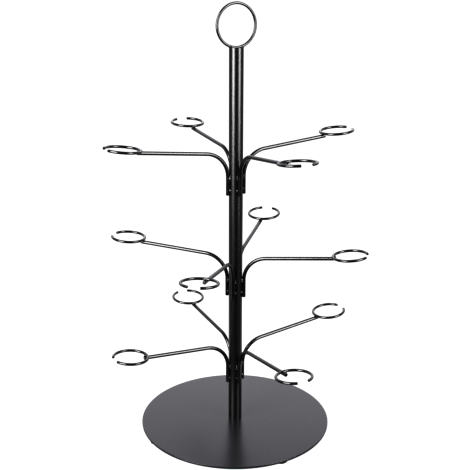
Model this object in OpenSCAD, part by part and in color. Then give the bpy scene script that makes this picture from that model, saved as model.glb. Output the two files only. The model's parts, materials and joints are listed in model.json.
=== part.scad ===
// A free-standing tree for stemmed glasses or cups: a round base plate carries a
// tube, three tiers of four bent wires stand out from the tube, and each wire
// ends in an open ring. A round carrying ring is welded across the tube's mouth.
//
// Origin: on the tube's axis, at the surface that the feet stand on.
// +Z runs up the tube and +X along the first arm of the top tier (before its turn).
// All sizes are in millimetres and all angles in degrees.

/* [Base plate] */
// Diameter of the round plate
base_d = 300; // [240:5:360]
// Thickness of the plate
base_t = 3; // [2.5:0.1:5]
// Chamfer round the plate's rim, on both faces
rim_chamfer = 0.5; // [0.2:0.1:0.8]

/* [Feet] */
// Number of rubber pads under the plate
foot_count = 4; // [3:1:6]
// Diameter of a pad
foot_d = 22; // [16:1:30]
// Height of a pad
foot_h = 3; // [2:0.1:5]
// Distance from a pad's edge to the plate's rim
foot_margin = 1; // [1:0.5:10]
// Turn of the first pad about the tube, in degrees
foot_turn = 2; // [-20:0.5:20]

/* [Pole] */
// Outside diameter of the tube
pole_d = 21; // [17:0.5:26]
// Wall of the tube
pole_wall = 1.5; // [1:0.1:2]
// Length of the tube, from the plate's top face to its mouth
pole_h = 590; // [490:1:710]

/* [Pole fixing] */
// Length of the threaded plug inside the tube's foot
plug_l = 18; // [14:1:30]
// Thread diameter of the countersunk screw
screw_d = 8; // [6:1:8]
// Length of the screw under its countersink
screw_l = 14; // [10:1:20]
// Width across the flats of the screw's hexagon socket
socket_af = 5; // [4:0.5:5]

/* [Arms] */
// Diameter of an arm's wire
arm_wire_d = 5.6; // [4.5:0.1:7]
// Distance from the tube's axis to the wire's end
arm_reach = 155; // [125:1:190]
// Bend radius of the wire's centre line
arm_bend_r = 38; // [30:1:46]
// Straight leg of the wire below the bend, along the tube
leg_l = 28; // [22:1:36]

/* [Tiers] */
// Height of the top tier's bends above the plate's top face
top_tier_h = 401.5; // [370:0.5:430]
// Height of the middle tier's bends
middle_tier_h = 238.5; // [200:0.5:300]
// Height of the bottom tier's bends
bottom_tier_h = 94; // [60:0.5:130]
// Turn of the top tier about the tube
top_turn = -0.5; // [-45:0.5:45]
// Turn of the middle tier, about half way between the arms of the others
middle_turn = 46.5; // [0:0.5:90]
// Turn of the bottom tier
bottom_turn = 0.5; // [-45:0.5:45]
// Rise of each top arm above level, bent by hand and so not quite alike
top_rise = [5.5, 5, 6, 5.5]; // [0:0.5:15]
// Rise of each middle arm
middle_rise = [7, 4.5, 6, 5.5]; // [0:0.5:15]
// Rise of each bottom arm
bottom_rise = [7, 5, 3.5, 6]; // [0:0.5:15]

/* [Glass rings] */
// Diameter of a glass ring at its wire's centre line
ring_d = 51.2; // [42:0.2:62]
// Diameter of the ring's wire
ring_wire_d = 4; // [3:0.1:5]
// Width of the gap that a stem passes through, across the wire's centre line
stem_gap = 18; // [12:0.5:24]
// Length of arm wire left past the ring's centre line
arm_tail = 4; // [3:0.5:6]

/* [Carrying ring] */
// Diameter of the carrying ring at its wire's centre line
handle_d = 61.4; // [50:0.2:76]
// Diameter of the carrying ring's wire
handle_wire_d = 4; // [3:0.1:5]

/* [Welds and fits] */
// Depth to which two crossing wires are pressed together when they are welded
weld_set = 0.4; // [0.2:0.1:0.8]
// Gap left between a leg and the tube, bridged by the weld beads
leg_gap = 0.1; // [0.05:0.05:0.3]
// Radius of a weld bead beside a leg
bead_r = 1.7; // [1.4:0.1:2]
// Length of the weld beads at the bend
upper_bead_l = 8; // [5:0.5:12]
// Length of the weld beads low on the leg
lower_bead_l = 5; // [4:0.5:8]
// Radius of the small bead that holds a ring
ring_bead_r = 1.4; // [1.2:0.1:1.6]
// Chamfer on every cut wire end
wire_chamfer = 0.5; // [0.2:0.1:0.8]
// Clearance round the plug in the tube and round the screw in the plug
plug_clear = 0.05; // [0.02:0.01:0.1]

/* [Hidden] */
TIERS = ["top", "middle", "bottom"];
ARMS = [0:3];
// Arms in a tier, evenly spread round the tube
arm_pitch = 90;
tier_h = [top_tier_h, middle_tier_h, bottom_tier_h];
tier_turn = [top_turn, middle_turn, bottom_turn];
tier_rise = [top_rise, middle_rise, bottom_rise];

$fn = 96;
// Room by which a cutter passes through a face that it opens
cut = 1;

plate_z = foot_h + base_t;
mouth_z = plate_z + pole_h;
pole_r = pole_d / 2;
bore_r = pole_r - pole_wall;
arm_r = arm_wire_d / 2;
ring_r = ring_d / 2;
ring_wire_r = ring_wire_d / 2;
handle_r = handle_d / 2;
handle_wire_r = handle_wire_d / 2;

// Pads: their centres lie on this circle
foot_ring_r = base_d / 2 - foot_margin - foot_d / 2;
foot_pitch = 360 / foot_count;
foot_chamfer = foot_h / 6;

// Countersunk screw: a right-angled cone under a thin rim, its top flush with the plate's top face
screw_r = screw_d / 2;
head_r = screw_d;
head_rim = screw_d / 20;
head_h = head_r - screw_r + head_rim;
head_z = plate_z - head_h;
socket_depth = head_h * 0.6;
screw_point = screw_d / 10;

// Legs stand beside the tube, a small gap away from it
leg_x = pole_r + leg_gap + arm_r;
// Half of the angle that the stem gap takes out of a ring
gap_half = asin(stem_gap / ring_d);
// The ring lies on its arm, pressed into it by weld_set
ring_lift = arm_r + ring_wire_r - weld_set;

// The worked wire of a bend is thicker by swell, and a straight runs this far into it
swell = 0.01;
lap = 0.4;

// A bead's centre stands this far off the two surfaces that it joins
bead_off = bead_r / 2;
ring_bead_off = ring_bead_r / 2;
// The upper beads are centred this far below the start of the bend, and the lower
// ones this far above the leg's end
upper_bead_drop = 1;
lower_bead_up = 8;

// The carrying ring rests on the mouth's outer edge and dips into the mouth
handle_z = mouth_z + sqrt(pow(handle_r + handle_wire_r, 2) - pow(pole_r, 2)) - weld_set;
mouth_mid_r = (pole_r + bore_r) / 2;

coat_black = "#17181a";
plate_black = "#3a3b3e";
rubber_black = "#101010";
zinc = "#b9bcc0";

// Straight length of an arm between its bend and its end, for a given rise
function straight_l(rise) = (arm_reach - bend_end_x(rise)) / cos(rise);
function bend_end_x(rise) = leg_x + arm_bend_r * (1 - sin(rise));
function bend_end_z(rise) = arm_bend_r * cos(rise);

// A disc or shaft with a chamfer on both ends
module chamfered_rod(r, h, chamfer) {
    rotate_extrude()
        polygon([[0, 0], [r - chamfer, 0], [r, chamfer], [r, h - chamfer], [r - chamfer, h], [0, h]]);
}

// A bead with round ends along Z, centred on the origin
module bead(r, l) {
    rotate_extrude() intersection() {
        translate([0, -l / 2]) square([r, l]);
        union() {
            square([2 * r, l - 2 * r], center = true);
            for (end = [-1, 1]) translate([0, end * (l / 2 - r)]) circle(r = r);
        }
    }
}

module base_plate() {
    sink_r = min(head_r, screw_r + base_t);
    color(plate_black) translate([0, 0, foot_h]) difference() {
        chamfered_rod(base_d / 2, base_t, rim_chamfer);
        translate([0, 0, base_t - (sink_r - screw_r)]) cylinder(r1 = sink_r, r2 = screw_r, h = sink_r - screw_r);
        translate([0, 0, -cut]) cylinder(r = screw_r, h = base_t + 2 * cut);
        if (base_t > head_h - head_rim)
            translate([0, 0, -cut]) cylinder(r = head_r, h = base_t - (head_h - head_rim) + cut);
    }
}

module foot(index) {
    color(rubber_black) rotate([0, 0, foot_turn + (index - 1) * foot_pitch])
        translate([foot_ring_r, 0, 0])
        rotate_extrude() polygon([
            [0, 0], [foot_d / 2 - foot_chamfer, 0], [foot_d / 2, foot_chamfer], [foot_d / 2, foot_h], [0, foot_h]
        ]);
}

module carrying_ring_shape() {
    translate([0, 0, handle_z]) rotate([90, 0, 0])
        rotate_extrude() translate([handle_r, 0]) circle(r = handle_wire_r);
}

module pole_tube() {
    color(coat_black) difference() {
        translate([0, 0, plate_z]) cylinder(r = pole_r, h = pole_h);
        translate([0, 0, plate_z - cut]) cylinder(r = bore_r, h = pole_h + 2 * cut);
        carrying_ring_shape();
    }
}

module pole_plug() {
    color(zinc) translate([0, 0, plate_z]) difference() {
        chamfered_rod(bore_r - plug_clear, plug_l, wire_chamfer);
        translate([0, 0, -cut]) cylinder(r = screw_r + plug_clear, h = plug_l + 2 * cut);
    }
}

module base_screw() {
    color(zinc) difference() {
        rotate_extrude() polygon([
            [0, head_z], [head_r, head_z], [head_r, head_z + head_rim], [screw_r, plate_z],
            [screw_r, plate_z + screw_l - screw_point], [screw_r - screw_point, plate_z + screw_l],
            [0, plate_z + screw_l]
        ]);
        translate([0, 0, head_z - cut]) cylinder(d = socket_af / cos(30), h = socket_depth + cut, $fn = 6);
    }
}

// One arm's wire in its own plane: the leg stands along Z and the arm runs out along +X.
// The straights run a little way into the bend, where the wire is a hair thicker.
module arm_shape(rise) {
    translate([leg_x, 0, -leg_l]) cut_wire(arm_r, leg_l + lap);
    translate([leg_x + arm_bend_r, 0, 0]) rotate([90, 0, 0]) rotate([0, 0, 90 + rise])
        rotate_extrude(angle = 90 - rise) translate([arm_bend_r, 0]) circle(r = arm_r + swell);
    translate([bend_end_x(rise), 0, bend_end_z(rise)]) rotate([0, 90 - rise, 0])
        translate([0, 0, straight_l(rise)]) mirror([0, 0, 1]) cut_wire(arm_r, straight_l(rise) + lap);
}

// A round wire from its chamfered cut end at z = 0 up to z = l
module cut_wire(r, l) {
    rotate_extrude() polygon([[0, 0], [r - wire_chamfer, 0], [r, wire_chamfer], [r, l], [0, l]]);
}

// Puts a child on the point of the arm's centre line that lies under the ring's wire,
// with +X along the arm and +Z square to it
module on_arm_tip(rise) {
    translate([bend_end_x(rise), 0, bend_end_z(rise)]) rotate([0, -rise, 0])
        translate([straight_l(rise) - arm_tail, 0, 0]) children();
}

// An open ring lying on the arm, its gap facing outwards along +X
module ring_shape(rise) {
    on_arm_tip(rise) translate([ring_r, 0, ring_lift]) {
        rotate([0, 0, gap_half]) rotate_extrude(angle = 360 - 2 * gap_half)
            translate([ring_r, 0]) circle(r = ring_wire_r);
        for (side = [-1, 1]) rotate([0, 0, side * gap_half]) translate([ring_r, 0, 0])
            rotate([side * 90, 0, 0]) translate([0, 0, wire_chamfer]) mirror([0, 0, 1])
                cut_wire(ring_wire_r - swell, wire_chamfer + lap);
    }
}

// Puts a child in place of an arm: on its tier and turned about the tube
module at_arm(tier, arm) {
    translate([0, 0, plate_z + tier_h[tier]]) rotate([0, 0, tier_turn[tier] + arm * arm_pitch]) children();
}

module arm(tier, index) {
    rise = tier_rise[tier][index];
    color(coat_black) at_arm(tier, index) difference() {
        arm_shape(rise);
        ring_shape(rise);
    }
}

module glass_ring(tier, index) {
    color(coat_black) at_arm(tier, index) ring_shape(tier_rise[tier][index]);
}

// Four beads hold each leg: one each side at the bend and one each side low on the leg
module arm_welds(tier) {
    from_pole = pole_r + bead_off;
    from_leg = arm_r + bead_off;
    bead_x = (pow(from_pole, 2) - pow(from_leg, 2) + pow(leg_x, 2)) / (2 * leg_x);
    bead_y = sqrt(pow(from_pole, 2) - pow(bead_x, 2));
    color(coat_black) difference() {
        for (a = ARMS) at_arm(tier, a) difference() {
            for (side = [-1, 1]) {
                translate([bead_x, side * bead_y, -upper_bead_drop]) bead(bead_r, upper_bead_l);
                translate([bead_x, side * bead_y, lower_bead_up - leg_l]) bead(bead_r, lower_bead_l);
            }
            arm_shape(tier_rise[tier][a]);
        }
        translate([0, 0, plate_z]) cylinder(r = pole_r, h = pole_h);
    }
}

// One bead in the corner between the ring's wire and the arm's tail
module ring_welds(tier) {
    bead_z = arm_r + ring_bead_off;
    bead_x = sqrt(pow(ring_wire_r + ring_bead_off, 2) - pow(ring_lift - bead_z, 2));
    color(coat_black) for (a = ARMS) at_arm(tier, a) difference() {
        on_arm_tip(tier_rise[tier][a]) translate([bead_x, 0, bead_z])
            rotate([90, 0, 0]) bead(ring_bead_r, 3 * ring_bead_r);
        arm_shape(tier_rise[tier][a]);
        ring_shape(tier_rise[tier][a]);
    }
}

module carrying_ring() {
    color(coat_black) carrying_ring_shape();
}

// Four beads on the tube's mouth, one each side of the ring's wire where it crosses the wall
module carrying_ring_welds() {
    bead_y = handle_wire_r + ring_bead_off;
    bead_x = sqrt(pow(mouth_mid_r, 2) - pow(bead_y, 2));
    color(coat_black) difference() {
        for (sx = [-1, 1], sy = [-1, 1]) translate([sx * bead_x, sy * bead_y, mouth_z + ring_bead_off])
            sphere(r = ring_bead_r);
        carrying_ring_shape();
        translate([0, 0, plate_z]) cylinder(r = pole_r, h = pole_h);
    }
}

base_plate();
pole_tube();
pole_plug();
base_screw();
carrying_ring();
carrying_ring_welds();
for (f = [1:foot_count])
    foot(f);
for (t = [0:len(TIERS) - 1]) {
    arm_welds(t);
    ring_welds(t);
    for (a = ARMS) {
        arm(t, a);
        glass_ring(t, a);
    }
}
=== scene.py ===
"""A free-standing wire tree for stemmed glasses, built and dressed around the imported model.

Places come from the frame: the plate, the tube and the pads from their nodes' boxes, and the
arms and rings from the record's ring seats. Each sub-assembly is a class with its sizes in
metres. Wires and weld beads are swept by Geometry Nodes; the other pieces are turned.
"""

from __future__ import annotations

import json
import logging
import math
from dataclasses import dataclass, field
from enum import Enum

import bpy
from mathutils import Matrix, Vector

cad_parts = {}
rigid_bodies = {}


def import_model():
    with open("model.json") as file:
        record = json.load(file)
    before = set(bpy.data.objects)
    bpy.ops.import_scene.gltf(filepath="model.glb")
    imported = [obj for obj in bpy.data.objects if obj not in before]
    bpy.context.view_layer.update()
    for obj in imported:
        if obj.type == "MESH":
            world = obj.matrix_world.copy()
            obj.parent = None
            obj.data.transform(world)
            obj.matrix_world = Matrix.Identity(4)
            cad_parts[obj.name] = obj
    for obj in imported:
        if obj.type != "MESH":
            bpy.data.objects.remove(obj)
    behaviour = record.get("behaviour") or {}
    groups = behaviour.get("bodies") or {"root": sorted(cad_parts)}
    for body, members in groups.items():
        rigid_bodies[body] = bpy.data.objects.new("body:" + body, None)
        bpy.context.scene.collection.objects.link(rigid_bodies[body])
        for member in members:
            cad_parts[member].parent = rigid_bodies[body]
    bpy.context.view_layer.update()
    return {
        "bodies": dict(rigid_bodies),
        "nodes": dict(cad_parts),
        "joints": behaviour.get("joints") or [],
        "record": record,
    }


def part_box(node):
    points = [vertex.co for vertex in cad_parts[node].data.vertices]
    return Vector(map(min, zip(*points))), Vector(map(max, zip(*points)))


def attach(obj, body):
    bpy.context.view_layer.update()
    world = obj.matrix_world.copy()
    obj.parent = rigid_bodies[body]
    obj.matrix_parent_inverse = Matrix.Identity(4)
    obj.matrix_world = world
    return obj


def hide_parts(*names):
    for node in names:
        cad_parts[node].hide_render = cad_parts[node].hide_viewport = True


log = logging.getLogger("glass_tree")

MM = 0.001
BODY = "root"
UP = Vector((0.0, 0.0, 1.0))
Colour = tuple[float, float, float]


class Tier(Enum):
    """The tiers of arms, by the word that their nodes start with."""

    TOP = "top"
    MIDDLE = "middle"
    BOTTOM = "bottom"


class Slot(Enum):
    """The record's material slots."""

    PLATE = "plate_coat"
    POLE = "pole_coat"
    WIRE = "wire_coat"
    WELD = "weld_coat"
    PAD = "pad_rubber"
    ZINC = "zinc_steel"


# ---------------------------------------------------------------- node trees


class Value:
    """A number flowing between nodes, so that sums on it read as arithmetic."""

    def __init__(self, graph: Graph, socket: bpy.types.NodeSocket) -> None:
        """Keeps the output socket and the graph that its sums are added to."""
        self.graph = graph
        self.socket = socket

    def math(self, operation: str, *others: Value | float, swap: bool = False) -> Value:
        """Adds one Math node.

        Args:
            operation: the Math node's operation.
            others: the operands after this one.
            swap: puts the single other operand first.

        Returns:
            The node's result.
        """
        operands = [self, *others]
        if swap:
            operands.reverse()
        return self.graph.value("ShaderNodeMath", {"operation": operation}, dict(enumerate(operands)))

    def __add__(self, other: Value | float) -> Value:
        """The sum."""
        return self.math("ADD", other)

    __radd__ = __add__

    def __sub__(self, other: Value | float) -> Value:
        """The difference."""
        return self.math("SUBTRACT", other)

    def __rsub__(self, other: Value | float) -> Value:
        """The difference, the other way round."""
        return self.math("SUBTRACT", other, swap=True)

    def __mul__(self, other: Value | float) -> Value:
        """The product."""
        return self.math("MULTIPLY", other)

    __rmul__ = __mul__

    def __truediv__(self, other: Value | float) -> Value:
        """The quotient."""
        return self.math("DIVIDE", other)

    def __rtruediv__(self, other: Value | float) -> Value:
        """The quotient, the other way round."""
        return self.math("DIVIDE", other, swap=True)

    def between(self, low: float, high: float) -> Value:
        """Runs from 0 where this is at low to 1 at high, and stays within them.

        Args:
            low: where it starts.
            high: where it ends.

        Returns:
            The share of the way, from 0 to 1.
        """
        settings = {"clamp": True}
        sockets = {"Value": self, "From Min": low, "From Max": high}
        return self.graph.value("ShaderNodeMapRange", settings, sockets)


class Graph:
    """A node tree with one way of adding nodes."""

    def __init__(self, tree: bpy.types.NodeTree) -> None:
        """Takes an empty node tree."""
        self.tree = tree

    def node(self, kind: str, settings: dict | None = None, sockets: dict | None = None) -> bpy.types.Node:
        """Adds a node.

        Args:
            kind: the node's type.
            settings: its properties, set first; "stops" gives a ramp's (place, grey) pairs.
            sockets: values or links for its inputs, by name or number.

        Returns:
            The node.
        """
        made = self.tree.nodes.new(kind)
        for name, setting in (settings or {}).items():
            if name == "stops":
                self._set_stops(made.color_ramp, setting)
            else:
                setattr(made, name, setting)
        for name, given in (sockets or {}).items():
            source = given.socket if isinstance(given, Value) else given
            if isinstance(source, bpy.types.NodeSocket):
                self.tree.links.new(source, made.inputs[name])
            else:
                made.inputs[name].default_value = source
        return made

    def value(self, kind: str, settings: dict | None = None, sockets: dict | None = None) -> Value:
        """Adds a node and returns its first output for sums.

        Args:
            kind: the node's type.
            settings: its properties.
            sockets: values or links for its inputs.

        Returns:
            The first output.
        """
        return Value(self, self.node(kind, settings, sockets).outputs[0])

    @staticmethod
    def _set_stops(ramp: bpy.types.ColorRamp, stops: list[tuple[float, float]]) -> None:
        """Places a ramp's stops, each a grey.

        Args:
            ramp: the ramp to set.
            stops: (place, grey) pairs.
        """
        while len(ramp.elements) < len(stops):
            ramp.elements.new(1.0)
        for element, (place, grey) in zip(ramp.elements, stops):
            element.position = place
            element.color = (grey, grey, grey, 1.0)


# ---------------------------------------------------------------- finishes


@dataclass(frozen=True)
class Finish:
    """A surface finish; each kind says how its shader is made.

    Args:
        name: the material's name.
        tint: its base colour.
        roughness: its mean roughness.
    """

    name: str
    tint: Colour
    roughness: float

    def material(self) -> bpy.types.Material:
        """The finish's material, made once.

        Returns:
            The material.
        """
        known = bpy.data.materials.get(self.name)
        if known:
            return known
        made = bpy.data.materials.new(self.name)
        made.use_nodes = True
        made.diffuse_color = (*self.tint, 1.0)
        made.node_tree.nodes.clear()
        graph = Graph(made.node_tree)
        graph.node("ShaderNodeOutputMaterial", None, {"Surface": self.surface(graph)})
        return made

    def surface(self, graph: Graph) -> bpy.types.NodeSocket:
        """The output of the finish's dressed shader.

        Args:
            graph: the material's graph.

        Returns:
            The output that the material shows.
        """
        shader = graph.node("ShaderNodeBsdfPrincipled", None, {"Base Color": (*self.tint, 1.0)})
        self.dress(graph, shader)
        return shader.outputs[0]

    def dress(self, graph: Graph, shader: bpy.types.Node) -> None:
        """Links the finish's own detail to the shader; a plain finish has only its roughness."""
        shader.inputs["Roughness"].default_value = self.roughness

    @staticmethod
    def noise(graph: Graph, size: float, detail: float = 2.0, stretch: Colour = (1.0, 1.0, 1.0)) -> Value:
        """Noise on the piece's own coordinates.

        Args:
            graph: the material's graph.
            size: width of one blotch, in metres.
            detail: how many finer layers it has.
            stretch: scale of the coordinates along each axis, under 1 to draw the noise out.

        Returns:
            The noise, from 0 to 1.
        """
        place = graph.node("ShaderNodeTexCoord").outputs["Object"]
        if stretch != (1.0, 1.0, 1.0):
            place = graph.node("ShaderNodeMapping", None, {"Vector": place, "Scale": stretch}).outputs[0]
        sockets = {"Vector": place, "Scale": 1.0 / size, "Detail": detail}
        return graph.value("ShaderNodeTexNoise", None, sockets)

    @staticmethod
    def bump(graph: Graph, shader: bpy.types.Node, height: Value, depth: float) -> None:
        """Lets a height from 0 to 1 raise the surface by depth metres.

        Args:
            graph: the material's graph.
            shader: the shader whose normal it turns.
            height: the height, from 0 to 1.
            depth: how far 1 stands up.
        """
        sockets = {"Height": height, "Distance": depth, "Strength": 1.0}
        shader_normal = graph.node("ShaderNodeBump", None, sockets).outputs[0]
        graph.tree.links.new(shader_normal, shader.inputs["Normal"])

    def mix(self, graph: Graph, shader: bpy.types.Node, other: Colour, factor: Value) -> None:
        """Blends the base colour towards another where the factor is high.

        Args:
            graph: the material's graph.
            shader: the shader whose colour it sets.
            other: the other colour.
            factor: its share.
        """
        settings = {"data_type": "RGBA", "blend_type": "MIX"}
        sockets = {0: factor, 6: (*self.tint, 1.0), 7: (*other, 1.0)}
        blended = graph.node("ShaderNodeMix", settings, sockets).outputs[2]
        graph.tree.links.new(blended, shader.inputs["Base Color"])


@dataclass(frozen=True)
class PowderCoat(Finish):
    """Black powder coat baked on steel, with the orange peel of the melted powder.

    Args:
        peel: width of one dimple.
        peel_depth: depth of the dimples.
        bloom: colour of the faint grey bloom that handling leaves.
        haze: how far the roughness wanders either way.
        cloud_peels: width of a cloud, in dimples.
        bloom_range: where in the clouds the bloom starts and is full.
        bloom_share: how much of the bloom's colour shows at most.
        grain_peels: how many grains fit across a dimple.
        grain_share: height of the grain, as a share of the dimples'.
    """

    peel: float
    peel_depth: float
    bloom: Colour
    haze: float = 0.03
    cloud_peels: float = 40
    bloom_range: tuple[float, float] = (0.45, 0.8)
    bloom_share: float = 0.35
    grain_peels: float = 5.0
    grain_share: float = 0.15

    def dress(self, graph: Graph, shader: bpy.types.Node) -> None:
        """Peel and powder grain in the bump, slow clouds in the roughness and the bloom.

        Args:
            graph: the material's graph.
            shader: the shader to dress.
        """
        clouds = self.noise(graph, self.cloud_peels * self.peel, 3.0)
        roughness = self.roughness + (clouds - 0.5) * (2.0 * self.haze)
        graph.tree.links.new(roughness.socket, shader.inputs["Roughness"])
        self.mix(graph, shader, self.bloom, clouds.between(*self.bloom_range) * self.bloom_share)
        peel = self.noise(graph, self.peel, 1.0)
        grain = self.noise(graph, self.peel / self.grain_peels, 2.0)
        self.bump(graph, shader, peel + grain * self.grain_share, self.peel_depth)


@dataclass(frozen=True)
class Rubber(Finish):
    """Matt moulded rubber with a fine grain and a little dust.

    Args:
        dust: the dust's colour.
        dust_share: how much of it shows at most.
        dust_patch: width of a dusty patch.
        grain: width of one grain.
        grain_depth: depth of the grain.
        sheen: strength of the rubber's reflection.
    """

    dust: Colour = (0.09, 0.088, 0.085)
    dust_share: float = 0.5
    dust_patch: float = 6 * MM
    grain: float = 0.5 * MM
    grain_depth: float = 0.03 * MM
    sheen: float = 0.35

    def dress(self, graph: Graph, shader: bpy.types.Node) -> None:
        """Grain in the bump, dust in the colour.

        Args:
            graph: the material's graph.
            shader: the shader to dress.
        """
        shader.inputs["Roughness"].default_value = self.roughness
        shader.inputs["Specular IOR Level"].default_value = self.sheen
        dust = self.noise(graph, self.dust_patch, 4.0).between(0.5, 0.85)
        self.mix(graph, shader, self.dust, dust * self.dust_share)
        self.bump(graph, shader, self.noise(graph, self.grain, 3.0), self.grain_depth)


@dataclass(frozen=True)
class ZincPlate(Finish):
    """Bright zinc on machined steel: turning lines and a cloudy passivation.

    Args:
        cloud: colour of the clouds.
        cloud_w: width of one cloud.
        cloud_haze: how much rougher a cloud is than bright metal.
        line_w: width of a turning line.
        line_depth: depth of the lines.
        line_stretch: scale of the lines' pattern, drawn out round the axis.
    """

    cloud: Colour = (0.46, 0.45, 0.4)
    cloud_w: float = 4 * MM
    cloud_haze: float = 0.16
    line_w: float = 0.35 * MM
    line_depth: float = 0.01 * MM
    line_stretch: Colour = (0.15, 0.15, 1.0)

    def dress(self, graph: Graph, shader: bpy.types.Node) -> None:
        """Turning lines in the bump, clouds in the colour and the roughness.

        Args:
            graph: the material's graph.
            shader: the shader to dress.
        """
        shader.inputs["Metallic"].default_value = 1.0
        clouds = self.noise(graph, self.cloud_w, 3.0)
        self.mix(graph, shader, self.cloud, clouds.between(0.35, 0.8))
        roughness = self.roughness + (clouds - 0.5) * self.cloud_haze
        graph.tree.links.new(roughness.socket, shader.inputs["Roughness"])
        lines = self.noise(graph, self.line_w, 1.0, self.line_stretch)
        self.bump(graph, shader, lines, self.line_depth)


@dataclass(frozen=True)
class StudioFloor(Finish):
    """White to the eye, while reflections see it fade to dark towards the front.

    Args:
        glow: light that the floor gives off near the object, so that shadows stay faint.
        ahead: level direction from the front to the back.
        dark_at: place along it, in metres, where the reflected floor is darkest.
        pale_at: place along it where the reflected floor is palest.
        dark: brightness at the first.
        pale: brightness at the second.
        near: distance from the object, in metres, up to which it keeps its brightness.
        far: distance from which it keeps only the far share of it.
        far_share: that share.
    """

    glow: float = 0.93
    ahead: Colour = (0.0, 1.0, 0.0)
    dark_at: float = -0.35
    pale_at: float = 0.35
    dark: float = 0.08
    pale: float = 1.4
    near: float = 0.4
    far: float = 1.2
    far_share: float = 0.4

    def surface(self, graph: Graph) -> bpy.types.NodeSocket:
        """Mixes what is looked at with what is reflected.

        Args:
            graph: the material's graph.

        Returns:
            The output that the floor shows.
        """
        place = graph.node("ShaderNodeTexCoord").outputs["Object"]
        along = graph.node("ShaderNodeVectorMath", {"operation": "DOT_PRODUCT"}, {0: place, 1: self.ahead})
        share = Value(graph, along.outputs["Value"]).between(self.dark_at, self.pale_at)
        distance = graph.node("ShaderNodeVectorMath", {"operation": "LENGTH"}, {0: place})
        fading = Value(graph, distance.outputs["Value"]).between(self.near, self.far) * (1.0 - self.far_share)
        level = (self.dark + share * (self.pale - self.dark)) * (1.0 - fading)
        reflected = graph.node("ShaderNodeEmission", None, {"Strength": level})
        white = graph.node("ShaderNodeBsdfDiffuse", None, {"Color": (*self.tint, 1.0)})
        spread = Value(graph, distance.outputs["Value"]).between(self.near, self.far)
        glow = graph.node("ShaderNodeEmission", None, {"Strength": self.glow + spread * (1.0 - self.glow)})
        seen = graph.node("ShaderNodeAddShader", None, {0: white.outputs[0], 1: glow.outputs[0]})
        looked_at = graph.node("ShaderNodeLightPath").outputs["Is Camera Ray"]
        return graph.node("ShaderNodeMixShader", None,
                          {0: looked_at, 1: reflected.outputs[0], 2: seen.outputs[0]}).outputs[0]


PLATE_COAT = PowderCoat("plate_satin_black", (0.006, 0.0062, 0.0078), 0.27, peel=1.6 * MM,
                        peel_depth=0.0008 * MM, haze=0.02, bloom=(0.012, 0.012, 0.0135))
POLE_COAT = PowderCoat("pole_gloss_black", (0.002, 0.002, 0.0022), 0.28, peel=2.6 * MM,
                       peel_depth=0.0012 * MM, bloom=(0.004, 0.004, 0.0044))
WIRE_COAT = PowderCoat("wire_gloss_black", (0.002, 0.002, 0.0022), 0.18, peel=1.4 * MM,
                       peel_depth=0.0012 * MM, bloom=(0.004, 0.004, 0.0044))
WELD_COAT = PowderCoat("weld_gloss_black", (0.003, 0.003, 0.0033), 0.17, peel=1.2 * MM,
                       peel_depth=0.012 * MM, bloom=(0.006, 0.006, 0.0064))
PAD_RUBBER = Rubber("pad_black_rubber", (0.01, 0.01, 0.01), 0.8)
ZINC = ZincPlate("screw_zinc_plate", (0.62, 0.63, 0.65), 0.32)


# ---------------------------------------------------------------- geometry node trees


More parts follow.
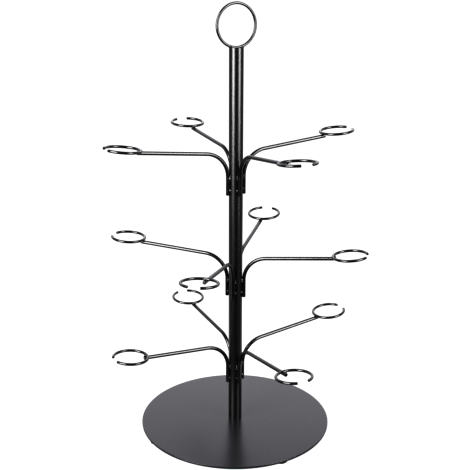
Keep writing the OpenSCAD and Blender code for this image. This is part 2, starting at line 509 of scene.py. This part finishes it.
class Sweep:
    """Geometry Nodes that sweep a round section along every spline of a curve.

    The section narrows towards both ends of a spline as a rounded cut end does. A weld's
    bead adds ripples along its length and lumps over its surface.
    """

    SIDES = 40

    def __init__(self) -> None:
        """Builds the tree."""
        self.tree = bpy.data.node_groups.new("swept_wire", "GeometryNodeTree")
        self.inputs: dict[str, str] = {}
        self._add_input("Path", "NodeSocketGeometry")
        for name in ("Radius", "End round", "End depth", "Ripple", "Ripple pitch", "Lump", "Lump size"):
            self._add_input(name, "NodeSocketFloat")
        self._add_input("Sides", "NodeSocketInt")
        self._add_input("Finish", "NodeSocketMaterial")
        self.tree.interface.new_socket("Mesh", in_out="OUTPUT", socket_type="NodeSocketGeometry")
        self._wire_up(Graph(self.tree))

    def _add_input(self, name: str, kind: str) -> None:
        """Adds a named input and notes its identifier."""
        made = self.tree.interface.new_socket(name, in_out="INPUT", socket_type=kind)
        self.inputs[name] = made.identifier

    def _wire_up(self, graph: Graph) -> None:
        """Adds the nodes: section scale, sweep, lumps, shading and finish.

        Args:
            graph: the tree's graph.
        """
        given = graph.node("NodeGroupInput").outputs
        part = {name: Value(graph, given[name]) for name in self.inputs}
        along = Value(graph, graph.node("GeometryNodeSplineParameter").outputs["Length"])
        total = graph.value("GeometryNodeSplineLength")
        from_end = along.math("MINIMUM", total - along)
        # A quarter circle: 1 at the cut face, 0 past the round
        turn = 1.0 - (from_end / part["End round"]).math("MINIMUM", 1.0)
        arc = 1.0 - (1.0 - turn * turn).math("MAXIMUM", 0.0).math("SQRT")
        wave = (along * (2.0 * math.pi) / part["Ripple pitch"]).math("SINE")
        scale = (1.0 - arc * part["End depth"]) * (1.0 + wave * part["Ripple"])
        section = graph.node("GeometryNodeCurvePrimitiveCircle", None,
                             {"Resolution": part["Sides"], "Radius": part["Radius"]})
        sweep = graph.node("GeometryNodeCurveToMesh", None, {
            "Curve": part["Path"], "Profile Curve": section.outputs["Curve"],
            "Scale": scale, "Fill Caps": True,
        })
        position = graph.node("GeometryNodeInputPosition").outputs[0]
        lumps = self._lumps(graph, position, part["Lump size"])
        push = graph.node("ShaderNodeVectorMath", {"operation": "SCALE"}, {
            0: graph.node("GeometryNodeInputNormal").outputs[0], "Scale": (lumps - 0.5) * part["Lump"],
        })
        moved = graph.node("GeometryNodeSetPosition", None,
                           {"Geometry": sweep.outputs[0], "Offset": push.outputs[0]})
        smooth = graph.node("GeometryNodeSetShadeSmooth", None, {"Geometry": moved.outputs[0]})
        real = graph.node("GeometryNodeRealizeInstances", None, {"Geometry": smooth.outputs[0]})
        dressed = graph.node("GeometryNodeSetMaterial", None,
                             {"Geometry": real.outputs[0], "Material": part["Finish"]})
        graph.node("NodeGroupOutput", None, {0: dressed.outputs[0]})

    @staticmethod
    def _lumps(graph: Graph, position: bpy.types.NodeSocket, size: Value) -> Value:
        """Noise whose blotches are as wide as size.

        Args:
            graph: the tree's graph.
            position: where a point lies.
            size: width of one blotch.

        Returns:
            The noise, from 0 to 1.
        """
        place = graph.node("ShaderNodeVectorMath", {"operation": "SCALE"},
                           {0: position, "Scale": 1.0 / size})
        sockets = {"Vector": place.outputs[0], "Scale": 1.0, "Detail": 2.0}
        return graph.value("ShaderNodeTexNoise", None, sockets)

    def build(self, name: str, paths: list[list[Vector]], finish: Finish, closed: bool = False,
              **sizes: float) -> bpy.types.Object:
        """Sweeps one piece.

        Args:
            name: the piece's name.
            paths: a list of points for each spline.
            finish: what the piece is dressed in.
            closed: joins each path's last point to its first.
            sizes: the tree's inputs, with underscores for spaces.

        Returns:
            The piece, a plain mesh.
        """
        curve = bpy.data.curves.new(f"{name}_path", "CURVE")
        curve.dimensions = "3D"
        for points in paths:
            spline = curve.splines.new("POLY")
            spline.points.add(len(points) - 1)
            for knot, point in zip(spline.points, points):
                knot.co = (*point, 1.0)
            spline.use_cyclic_u = closed
        holder = bpy.data.objects.new(f"{name}_path", curve)
        bpy.context.scene.collection.objects.link(holder)
        modifier = holder.modifiers.new("sweep", "NODES")
        modifier.node_group = self.tree
        values = {"End round": 1.0, "End depth": 0.0, "Ripple": 0.0, "Ripple pitch": 1.0,
                  "Lump": 0.0, "Lump size": 1.0, "Sides": self.SIDES, "Finish": finish.material()}
        values.update({key.replace("_", " "): size for key, size in sizes.items()})
        for key, chosen in values.items():
            modifier[self.inputs[key]] = chosen
        ready = holder.evaluated_get(bpy.context.evaluated_depsgraph_get())
        mesh = bpy.data.meshes.new_from_object(ready)
        bpy.data.objects.remove(holder)
        bpy.data.curves.remove(curve)
        mesh.name = name
        return place_piece(name, mesh)


def place_piece(name: str, mesh: bpy.types.Mesh) -> bpy.types.Object:
    """Puts a finished mesh into the scene, unmoved.

    Args:
        name: the piece's name.
        mesh: its mesh, already in place.

    Returns:
        The piece.
    """
    piece = bpy.data.objects.new(name, mesh)
    bpy.context.scene.collection.objects.link(piece)
    return piece


def hand_over(piece: bpy.types.Object, slot: Slot, *nodes: str) -> None:
    """Lets a piece ride on the body, stand for its CAD nodes and be logged.

    Args:
        piece: the piece.
        slot: the record's material slot that matches its finish; not used.
        nodes: the CAD nodes that it stands for.
    """
    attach(piece, BODY)
    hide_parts(*nodes)
    log.info("%s: %d faces", piece.name, len(piece.data.polygons))


# ---------------------------------------------------------------- turned pieces


@dataclass(frozen=True)
class Corner:
    """A corner of a turned outline: its distance from the axis, its height and its fillet."""

    r: float
    z: float
    fillet: float = 0.0


def rounded_outline(corners: list[Corner], steps: int = 6) -> list[tuple[float, float]]:
    """Rounds the corners of a closed outline.

    Each fillet is an arc with a holding point just past either end, so that flats shade flat.

    Args:
        corners: the outline's corners, in order.
        steps: steps of each arc.

    Returns:
        The outline's (radius, height) points.
    """
    outline = []
    for index, corner in enumerate(corners):
        here = Vector((corner.r, corner.z))
        before = Vector((corners[index - 1].r, corners[index - 1].z)) - here
        after = corners[(index + 1) % len(corners)]
        ahead = Vector((after.r, after.z)) - here
        before.normalize()
        ahead.normalize()
        half = before.angle(ahead) / 2.0
        reach = corner.fillet / math.tan(half)
        centre = here + (before + ahead).normalized() * (corner.fillet / math.sin(half))
        start = here + before * reach - centre
        sweep = start.angle_signed(here + ahead * reach - centre)
        hold = corner.fillet * 0.6
        outline.append(here + before * (reach + hold))
        for step in range(steps + 1):
            outline.append(centre + Matrix.Rotation(-sweep * step / steps, 2) @ start)
        outline.append(here + ahead * (reach + hold))
    return [(point.x, point.y) for point in outline]


def turned(name: str, outline: list[tuple[float, float]], segments: int, axis: Vector,
           finish: Finish) -> bpy.types.Object:
    """Turns a closed outline about an upright axis.

    Args:
        name: the piece's name.
        outline: (radius, height) points, counter-clockwise with the axis on the left.
        segments: steps round the axis.
        axis: a point of the axis.
        finish: what the piece is dressed in.

    Returns:
        The piece.
    """
    count = len(outline)
    points = []
    for segment in range(segments):
        turn = 2.0 * math.pi * segment / segments
        cos_turn, sin_turn = math.cos(turn), math.sin(turn)
        points += [(axis.x + r * cos_turn, axis.y + r * sin_turn, z) for r, z in outline]
    faces = []
    for segment in range(segments):
        here, beyond = segment * count, (segment + 1) % segments * count
        for step in range(count):
            ahead = (step + 1) % count
            faces.append((here + step, here + ahead, beyond + ahead, beyond + step))
    mesh = bpy.data.meshes.new(name)
    mesh.from_pydata(points, [], faces)
    mesh.flip_normals()
    mesh.shade_smooth()
    mesh.materials.append(finish.material())
    return place_piece(name, mesh)


# ---------------------------------------------------------------- sub-assemblies


@dataclass
class Stand:
    """The base plate, its pads and the screw that holds the tube.

    Args:
        rim_fillet: fillet of the plate's rim.
        hole_fillet: fillet of its centre hole.
        sink_r: radius of the countersink's mouth.
        screw_r: radius of the hole's upper end.
        pad_fillet: fillet of a pad's sole.
        groove_in: distance of a pad's groove from its edge.
        groove_w: width of the groove.
        groove_depth: depth of the groove.
        hub_r: radius of the pinhole at a pad's axis.
        pads: how many pads there are.
        rim_steps: steps round the plate.
        pad_steps: steps round a pad.
    """

    rim_fillet: float = 0.5 * MM
    hole_fillet: float = 0.15 * MM
    sink_r: float = 7 * MM
    screw_r: float = 4 * MM
    pad_fillet: float = 0.6 * MM
    groove_in: float = 3.2 * MM
    groove_w: float = 1.0 * MM
    groove_depth: float = 0.5 * MM
    hub_r: float = 0.01 * MM
    pads: int = 4
    rim_steps: int = 288
    pad_steps: int = 96

    def build(self, frame: dict) -> None:
        """Builds the plate and the pads, and dresses the screw and the plug.

        Args:
            frame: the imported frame.
        """
        low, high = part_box("base_plate")
        rim = (high.x - low.x) / 2.0
        outline = rounded_outline([
            Corner(self.sink_r, low.z, self.hole_fillet), Corner(rim, low.z, self.rim_fillet),
            Corner(rim, high.z, self.rim_fillet), Corner(self.screw_r, high.z, self.hole_fillet),
        ])
        plate = turned("base_plate_steel", outline, self.rim_steps, Vector(), PLATE_COAT)
        hand_over(plate, Slot.PLATE, "base_plate")
        for number in range(1, self.pads + 1):
            self._pad(number)
        for name in ("pole_plug", "base_screw"):
            for slot in frame["nodes"][name].material_slots:
                slot.material = ZINC.material()

    def _pad(self, number: int) -> None:
        """One moulded pad: a flat disc with a groove round its sole.

        Args:
            number: the pad's number, from 1.
        """
        low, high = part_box(f"foot_{number}")
        centre = (low + high) / 2.0
        edge = (high.x - low.x) / 2.0
        groove_out = edge - self.groove_in
        groove_in = groove_out - self.groove_w
        hub_fillet = self.hub_r / 10.0
        fine = self.groove_depth / 4.0
        outline = rounded_outline([
            Corner(self.hub_r, low.z, hub_fillet), Corner(groove_in, low.z, fine),
            Corner(groove_in, low.z + self.groove_depth, fine),
            Corner(groove_out, low.z + self.groove_depth, fine), Corner(groove_out, low.z, fine),
            Corner(edge, low.z, self.pad_fillet), Corner(edge, high.z, fine),
            Corner(self.hub_r, high.z, hub_fillet),
        ], steps=4)
        pad = turned(f"pad_{number}", outline, self.pad_steps, centre, PAD_RUBBER)
        hand_over(pad, Slot.PAD, f"foot_{number}")


@dataclass
class Pole:
    """The upright tube, open at its mouth.

    Args:
        wall: thickness of its wall.
        lip: fillet of its cut edges.
        steps: steps round it.
        radius: its outer radius, read from the frame.
        mouth: height of its mouth, read from the frame.
    """

    wall: float = 1.5 * MM
    lip: float = 0.35 * MM
    steps: int = 128
    radius: float = field(init=False, default=0.0)
    mouth: float = field(init=False, default=0.0)

    def build(self) -> None:
        """Turns the tube from its box."""
        low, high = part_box("pole_tube")
        self.radius = (high.x - low.x) / 2.0
        self.mouth = high.z
        bore = self.radius - self.wall
        outline = rounded_outline([
            Corner(bore, low.z, self.lip), Corner(self.radius, low.z, self.lip / 3.0),
            Corner(self.radius, high.z, self.lip), Corner(bore, high.z, self.lip),
        ])
        tube = turned("upright_tube", outline, self.steps, Vector(), POLE_COAT)
        hand_over(tube, Slot.POLE, "pole_tube")


@dataclass(frozen=True)
class Seat:
    """Where a glass ring lies, read from the record's mount of that ring."""

    tier: Tier
    number: int
    centre: Vector
    normal: Vector

    @property
    def outward(self) -> Vector:
        """Level direction from the tube to the ring."""
        return Vector((self.centre.x, self.centre.y, 0.0)).normalized()

    @property
    def rise(self) -> float:
        """Angle of the arm above level."""
        return math.asin(-self.normal.dot(self.outward))

    @property
    def along(self) -> Vector:
        """Direction of the arm's straight, outwards."""
        return self.outward * math.cos(self.rise) + UP * math.sin(self.rise)

    def at(self, out: float, side: float, height: float) -> Vector:
        """The point that lies out from the tube's axis, to one side, and at a height."""
        return self.outward * out + UP.cross(self.outward) * side + UP * height


@dataclass
class Wirework:
    """The arms, their rings, the carrying ring and every weld bead.

    Args:
        arm_r: radius of the arm wire.
        bend_r: radius of an arm's bend, along its centre line.
        leg: length of the leg that stands beside the tube.
        leg_gap: gap between leg and tube.
        ring_wire_r: radius of the ring wire.
        ring_r: radius of a ring, along its centre line.
        stem_gap: width of a ring's gap.
        weld_set: how far ring and arm are pressed into each other.
        tail: how far an arm runs past the ring's crossing.
        cut_round: rounding of a wire's cut end.
        bead_r: radius of a bead beside a leg.
        small_bead_r: radius of a bead at a ring.
        upper_bead: length of a leg's upper bead.
        lower_bead: length of a leg's lower bead.
        mouth_bead: length of a bead on the tube's mouth.
        upper_drop: drop of the upper bead's middle below the bend.
        lower_up: height of the lower bead's middle above the leg's end.
        bend_steps: steps round an arm's bend.
        ring_steps: steps round an open ring.
        handle_steps: steps round the carrying ring.
        bead_steps: steps along a bead.
        sweep: the Geometry Nodes that sweep every wire.
        seats: where the rings lie, read from the frame.
    """

    CUT_SHARES = (0.0, 0.06, 0.2, 0.4, 0.65, 1.0, 1.6)
    BEAD_LOOK = {"End_depth": 0.9, "Ripple": 0.035, "Ripple_pitch": 1.3 * MM,
                 "Lump": 1.5 * MM, "Lump_size": 2.6 * MM, "Sides": 32}

    arm_r: float = 2.8 * MM
    bend_r: float = 38 * MM
    leg: float = 28 * MM
    leg_gap: float = 0.1 * MM
    ring_wire_r: float = 2.0 * MM
    ring_r: float = 25.6 * MM
    stem_gap: float = 18 * MM
    weld_set: float = 0.4 * MM
    tail: float = 4 * MM
    cut_round: float = 0.6 * MM
    bead_r: float = 1.7 * MM
    small_bead_r: float = 1.4 * MM
    upper_bead: float = 8 * MM
    lower_bead: float = 5 * MM
    mouth_bead: float = 3.4 * MM
    upper_drop: float = 1 * MM
    lower_up: float = 8 * MM
    bend_steps: int = 40
    ring_steps: int = 120
    handle_steps: int = 144
    bead_steps: int = 36
    sweep: Sweep = field(init=False, default_factory=Sweep)
    seats: list[Seat] = field(init=False, default_factory=list)

    def build(self, frame: dict, pole: Pole) -> None:
        """Builds every wire and bead around the tube.

        Args:
            frame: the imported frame.
            pole: the built tube.
        """
        self.seats = self._read_seats(frame["record"]["mounts"])
        for seat in self.seats:
            self._arm(seat, pole)
            self._ring(seat)
        for tier in Tier:
            ours = [seat for seat in self.seats if seat.tier is tier]
            self._arm_beads(tier, ours, pole)
            self._ring_beads(tier, ours)
        self._carrying_ring(pole)

    def _read_seats(self, mounts: list[dict]) -> list[Seat]:
        """Finds the ring seats among the record's mounts.

        Args:
            mounts: the record's mounts.

        Returns:
            The seats, in the order of the mounts.
        """
        seats = []
        for mount in mounts:
            words = mount["name"].split("_")
            if words[-1] != "seat":
                continue
            normal = Vector(mount["axis"]).normalized()
            centre = Vector(mount["pos_m"]) - normal * self.ring_wire_r
            seats.append(Seat(Tier(words[0]), int(words[2]), centre, normal))
        return seats

    def _end_steps(self, length: float) -> list[float]:
        """Distances along a wire that shape its rounded cut ends.

        Args:
            length: the wire's length.

        Returns:
            The near end's distances, then the far end's.
        """
        near = [self.cut_round * share for share in self.CUT_SHARES]
        return near + [length - step for step in reversed(near)]

    def _arm(self, seat: Seat, pole: Pole) -> None:
        """One arm: up along the tube, round the bend and out to its tail under the ring.

        Args:
            seat: the seat of the arm's ring.
            pole: the built tube.
        """
        leg_x = pole.radius + self.leg_gap + self.arm_r
        foot_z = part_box(f"{seat.tier.value}_arm_{seat.number}")[0].z
        bend_z = foot_z + self.leg
        rise = seat.rise
        hub_x = leg_x + self.bend_r
        turn = math.pi / 2.0 - rise
        tip = self._tip(seat)
        bend_end = seat.at(hub_x - self.bend_r * math.sin(rise), 0.0, bend_z + self.bend_r * math.cos(rise))
        run = (tip - bend_end).length
        cut = len(self.CUT_SHARES)
        points = [seat.at(leg_x, 0.0, foot_z + step) for step in self._end_steps(self.leg)[:cut]]
        for step in range(self.bend_steps + 1):
            angle = math.pi - turn * step / self.bend_steps
            points.append(seat.at(hub_x + self.bend_r * math.cos(angle), 0.0,
                                  bend_z + self.bend_r * math.sin(angle)))
        heading = (tip - bend_end).normalized()
        points += [bend_end + heading * step for step in self._end_steps(run)[cut:]]
        name = f"{seat.tier.value}_arm_wire_{seat.number}"
        wire = self.sweep.build(name, [points], WIRE_COAT, Radius=self.arm_r,
                                End_round=self.cut_round, End_depth=self.cut_round / self.arm_r)
        hand_over(wire, Slot.WIRE, f"{seat.tier.value}_arm_{seat.number}")

    def _under_ring(self, seat: Seat) -> Vector:
        """The point of the arm's centre line below the ring's inner crossing.

        Args:
            seat: the ring's seat.

        Returns:
            The point.
        """
        lift = self.arm_r + self.ring_wire_r - self.weld_set
        return seat.centre - seat.along * self.ring_r - seat.normal * lift

    def _tip(self, seat: Seat) -> Vector:
        """The end of the arm's centre line."""
        return self._under_ring(seat) + seat.along * self.tail

    def _ring(self, seat: Seat) -> None:
        """One open ring, its gap on the outer side.

        Args:
            seat: the ring's seat.
        """
        sideways = seat.normal.cross(seat.along)
        half_gap = math.asin(self.stem_gap / 2.0 / self.ring_r)
        length = self.ring_r * (2.0 * math.pi - 2.0 * half_gap)
        ends = self._end_steps(length)
        cut, count = len(self.CUT_SHARES), self.ring_steps
        start, stop = ends[cut - 1], ends[cut]
        middle = [start + (stop - start) * step / count for step in range(1, count)]
        points = []
        for distance in ends[:cut] + middle + ends[cut:]:
            angle = half_gap + distance / self.ring_r
            outwards = seat.along * math.cos(angle) + sideways * math.sin(angle)
            points.append(seat.centre + outwards * self.ring_r)
        name = f"{seat.tier.value}_glass_ring_{seat.number}"
        ring = self.sweep.build(name, [points], WIRE_COAT, Radius=self.ring_wire_r,
                                End_round=self.cut_round, End_depth=self.cut_round / self.ring_wire_r)
        hand_over(ring, Slot.WIRE, f"{seat.tier.value}_ring_{seat.number}")

    def _bead(self, middle: Vector, direction: Vector, length: float) -> list[Vector]:
        """A bead's path: a short straight, stepped finely enough for its ripples.

        Args:
            middle: the bead's middle.
            direction: where it runs.
            length: its length.

        Returns:
            The points of its path.
        """
        steps = self.bead_steps
        return [middle + direction * length * (step / steps - 0.5) for step in range(steps + 1)]

    def _beads(self, name: str, paths: list[list[Vector]], radius: float, length: float, node: str) -> None:
        """Sweeps a group of rippled beads as one piece.

        Args:
            name: the piece's name.
            paths: each bead's path.
            radius: radius of a bead.
            length: length of the shortest bead.
            node: the CAD node that it stands for.
        """
        beads = self.sweep.build(name, paths, WELD_COAT, Radius=radius, End_round=length / 2.2,
                                 **self.BEAD_LOOK)
        hand_over(beads, Slot.WELD, node)

    def _arm_beads(self, tier: Tier, seats: list[Seat], pole: Pole) -> None:
        """The beads beside a tier's legs, two heights and both sides of each leg.

        Args:
            tier: the tier.
            seats: the tier's seats.
            pole: the built tube.
        """
        leg_x = pole.radius + self.leg_gap + self.arm_r
        off = self.bead_r / 2.0
        from_pole, from_leg = pole.radius + off, self.arm_r + off
        out = (from_pole**2 - from_leg**2 + leg_x**2) / (2.0 * leg_x)
        aside = math.sqrt(from_pole**2 - out**2)
        paths = []
        for seat in seats:
            foot_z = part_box(f"{tier.value}_arm_{seat.number}")[0].z
            for side in (-aside, aside):
                upper = seat.at(out, side, foot_z + self.leg - self.upper_drop)
                lower = seat.at(out, side, foot_z + self.lower_up)
                paths.append(self._bead(upper, UP, self.upper_bead))
                paths.append(self._bead(lower, UP, self.lower_bead))
        self._beads(f"{tier.value}_leg_beads", paths, self.bead_r, self.lower_bead, f"{tier.value}_arm_welds")

    def _ring_beads(self, tier: Tier, seats: list[Seat]) -> None:
        """The small beads in the corners between the rings and the arms' tails.

        Args:
            tier: the tier.
            seats: the tier's seats.
        """
        radius = self.small_bead_r
        up = self.arm_r + radius / 2.0
        lift = self.arm_r + self.ring_wire_r - self.weld_set
        ahead = math.sqrt((self.ring_wire_r + radius / 2.0) ** 2 - (lift - up) ** 2)
        length = 3.0 * radius
        paths = []
        for seat in seats:
            middle = self._under_ring(seat) + seat.along * ahead + seat.normal * up
            paths.append(self._bead(middle, seat.normal.cross(seat.along), length))
        self._beads(f"{tier.value}_ring_beads", paths, radius, length, f"{tier.value}_ring_welds")

    def _carrying_ring(self, pole: Pole) -> None:
        """The round ring on the tube's mouth, and its four beads.

        Args:
            pole: the built tube.
        """
        low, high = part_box("carrying_ring")
        wire_r = (high.y - low.y) / 2.0
        radius = (high.x - low.x) / 2.0 - wire_r
        centre = (low + high) / 2.0
        points = []
        for step in range(self.handle_steps):
            angle = 2.0 * math.pi * step / self.handle_steps
            points.append(centre + Vector((math.sin(angle), 0.0, -math.cos(angle))) * radius)
        ring = self.sweep.build("top_carrying_ring", [points], WIRE_COAT, closed=True, Radius=wire_r)
        hand_over(ring, Slot.WIRE, "carrying_ring")
        bead_r = self.small_bead_r
        aside = wire_r + bead_r / 2.0
        out = math.sqrt((pole.radius - pole.wall / 2.0) ** 2 - aside**2)
        paths = []
        for x in (-out, out):
            for y in (-aside, aside):
                middle = Vector((x, y, pole.mouth + bead_r / 3.0))
                paths.append(self._bead(middle, Vector((1.0, 0.0, 0.0)), self.mouth_bead))
        self._beads("mouth_beads", paths, bead_r, self.mouth_bead, "carrying_ring_welds")


# ---------------------------------------------------------------- studio


@dataclass(frozen=True)
class Softbox:
    """An upright area light that faces the tube's axis.

    Args:
        name: the light's name.
        azimuth: its direction from the tube, in degrees.
        glow: brightness of its face.
        width: its width.
        distance: its distance from the tube.
        foot: height of its lower edge.
        top: height of its upper edge.
    """

    name: str
    azimuth: float
    glow: float
    width: float
    distance: float = 2.0
    foot: float = 0.09
    top: float = 2.4

    def build(self) -> None:
        """Adds the light."""
        tall = self.top - self.foot
        light = bpy.data.lights.new(self.name, "AREA")
        light.shape = "RECTANGLE"
        light.size, light.size_y = self.width, tall
        light.energy = self.glow * math.pi * self.width * tall
        lamp = bpy.data.objects.new(self.name, light)
        turn = math.radians(self.azimuth)
        away = Vector((math.cos(turn), math.sin(turn), 0.0))
        lamp.location = away * self.distance + UP * (self.foot + tall / 2.0)
        lamp.rotation_euler = (-away).to_track_quat("-Z", "Y").to_euler()
        bpy.context.scene.collection.objects.link(lamp)


@dataclass(frozen=True)
class Studio:
    """The camera, the floor, the surround and the soft lights.

    Args:
        distance: level distance of the camera from the tube.
        height: height of the camera.
        aside: how far it stands to the right.
        heading: direction that it looks in, in degrees from +X.
        pitch: how far it is tipped down, in degrees.
        roll: how far it leans, in degrees.
        lens: its focal length, in millimetres.
        reach: how far it sees.
        floor_r: half the floor's width.
        surround: brightness of the surround from the front, 0, to the back, 1.
        heights: its brightness by the upward part of the direction.
        wall_tint: its colour.
        wall: its strength.
        backdrop: strength of the white that is looked at.
        left_turn: direction of the left softbox from the camera, in degrees.
        right_turn: direction of the right softbox.
        left_glow: brightness of the left softbox.
        right_glow: brightness of the right softbox.
        left_width: width of the left softbox.
        right_width: width of the right softbox.
        contrast: the view's gamma.
    """

    distance: float = 1.2525
    height: float = 0.7057
    aside: float = -0.001
    heading: float = 62.5
    pitch: float = 17.3
    roll: float = 0.21
    lens: float = 66.0
    reach: float = 200.0
    floor_r: float = 40.0
    surround: tuple[tuple[float, float], ...] = ((0.0, 0.22), (0.5, 0.38), (0.78, 0.88), (1.0, 1.0))
    heights: tuple[tuple[float, float], ...] = (
        (0.05, 0.25), (0.28, 0.95), (0.42, 1.0), (0.62, 0.55), (0.85, 0.3))
    wall_tint: Colour = (0.985, 0.985, 1.03)
    wall: float = 3.5
    backdrop: float = 1.05
    left_turn: float = 46.0
    right_turn: float = 55.0
    left_glow: float = 29.0
    right_glow: float = 21.5
    left_width: float = 1.3
    right_width: float = 1.15
    contrast: float = 0.6

    def build(self) -> None:
        """Sets up everything around the object."""
        self._camera()
        self._floor()
        self._surround()
        front = self.heading + 180.0
        Softbox("key_left", front - self.left_turn, self.left_glow, self.left_width).build()
        Softbox("key_right", front + self.right_turn, self.right_glow, self.right_width).build()
        view = bpy.context.scene.view_settings
        view.view_transform = "Standard"
        view.gamma = self.contrast

    def _camera(self) -> None:
        """Adds the camera, level with the tree's top and tipped down."""
        camera = bpy.data.cameras.new("camera")
        camera.lens = self.lens
        camera.clip_end = self.reach
        eye = bpy.data.objects.new("camera", camera)
        heading = math.radians(self.heading)
        ahead = Vector((math.cos(heading), math.sin(heading), 0.0))
        right = Vector((math.sin(heading), -math.cos(heading), 0.0))
        place = right * self.aside - ahead * self.distance + UP * self.height
        tilt = Matrix.Rotation(math.radians(90.0 - self.pitch), 4, "X")
        turn = Matrix.Rotation(heading - math.pi / 2.0, 4, "Z")
        lean = Matrix.Rotation(math.radians(self.roll), 4, "Z")
        eye.matrix_world = Matrix.Translation(place) @ turn @ tilt @ lean
        bpy.context.scene.collection.objects.link(eye)
        bpy.context.scene.camera = eye

    def _floor(self) -> None:
        """Adds a wide pale floor."""
        edge = self.floor_r
        mesh = bpy.data.meshes.new("floor")
        corners = [(-edge, -edge, 0), (edge, -edge, 0), (edge, edge, 0), (-edge, edge, 0)]
        mesh.from_pydata(corners, [], [(0, 1, 2, 3)])
        turn = math.radians(self.heading)
        ahead = (math.cos(turn), math.sin(turn), 0.0)
        mesh.materials.append(StudioFloor("floor_white", (0.06, 0.06, 0.06), 0.9, ahead=ahead).material())
        place_piece("floor", mesh)

    def _surround(self) -> None:
        """A pale studio: bright behind the object, dim towards the front."""
        world = bpy.data.worlds.new("surround")
        world.use_nodes = True
        world.node_tree.nodes.clear()
        graph = Graph(world.node_tree)
        turn = math.radians(self.heading)
        direction = graph.node("ShaderNodeTexCoord").outputs["Generated"]
        facing = graph.node("ShaderNodeVectorMath", {"operation": "DOT_PRODUCT"},
                            {0: direction, 1: (math.cos(turn), math.sin(turn), 0.0)})
        share = Value(graph, facing.outputs["Value"]).between(-1.0, 1.0)
        level = Value(graph, graph.node("ShaderNodeValToRGB", {"stops": self.surround}, {0: share}).outputs[0])
        upness = Value(graph, graph.node("ShaderNodeSeparateXYZ", None, {0: direction}).outputs["Z"])
        glow = Value(graph, graph.node("ShaderNodeValToRGB", {"stops": self.heights}, {0: upness}).outputs[0])
        reflected = graph.node("ShaderNodeBackground", None,
                               {"Color": (*self.wall_tint, 1.0), "Strength": level * glow * self.wall})
        white = {"Color": (1.0, 1.0, 1.0, 1.0), "Strength": self.backdrop}
        seen = graph.node("ShaderNodeBackground", None, white)
        looked_at = graph.node("ShaderNodeLightPath").outputs["Is Camera Ray"]
        both = graph.node("ShaderNodeMixShader", None,
                          {0: looked_at, 1: reflected.outputs[0], 2: seen.outputs[0]})
        graph.node("ShaderNodeOutputWorld", None, {"Surface": both.outputs[0]})
        bpy.context.scene.world = world


# ---------------------------------------------------------------- the whole


def main() -> None:
    """Builds the tree around the frame, then the studio."""
    logging.basicConfig(level=logging.INFO, format="%(name)s: %(message)s")
    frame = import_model()
    Studio().build()
    Stand().build(frame)
    pole = Pole()
    pole.build()
    Wirework().build(frame, pole)


if __name__ == "__main__":
    main()
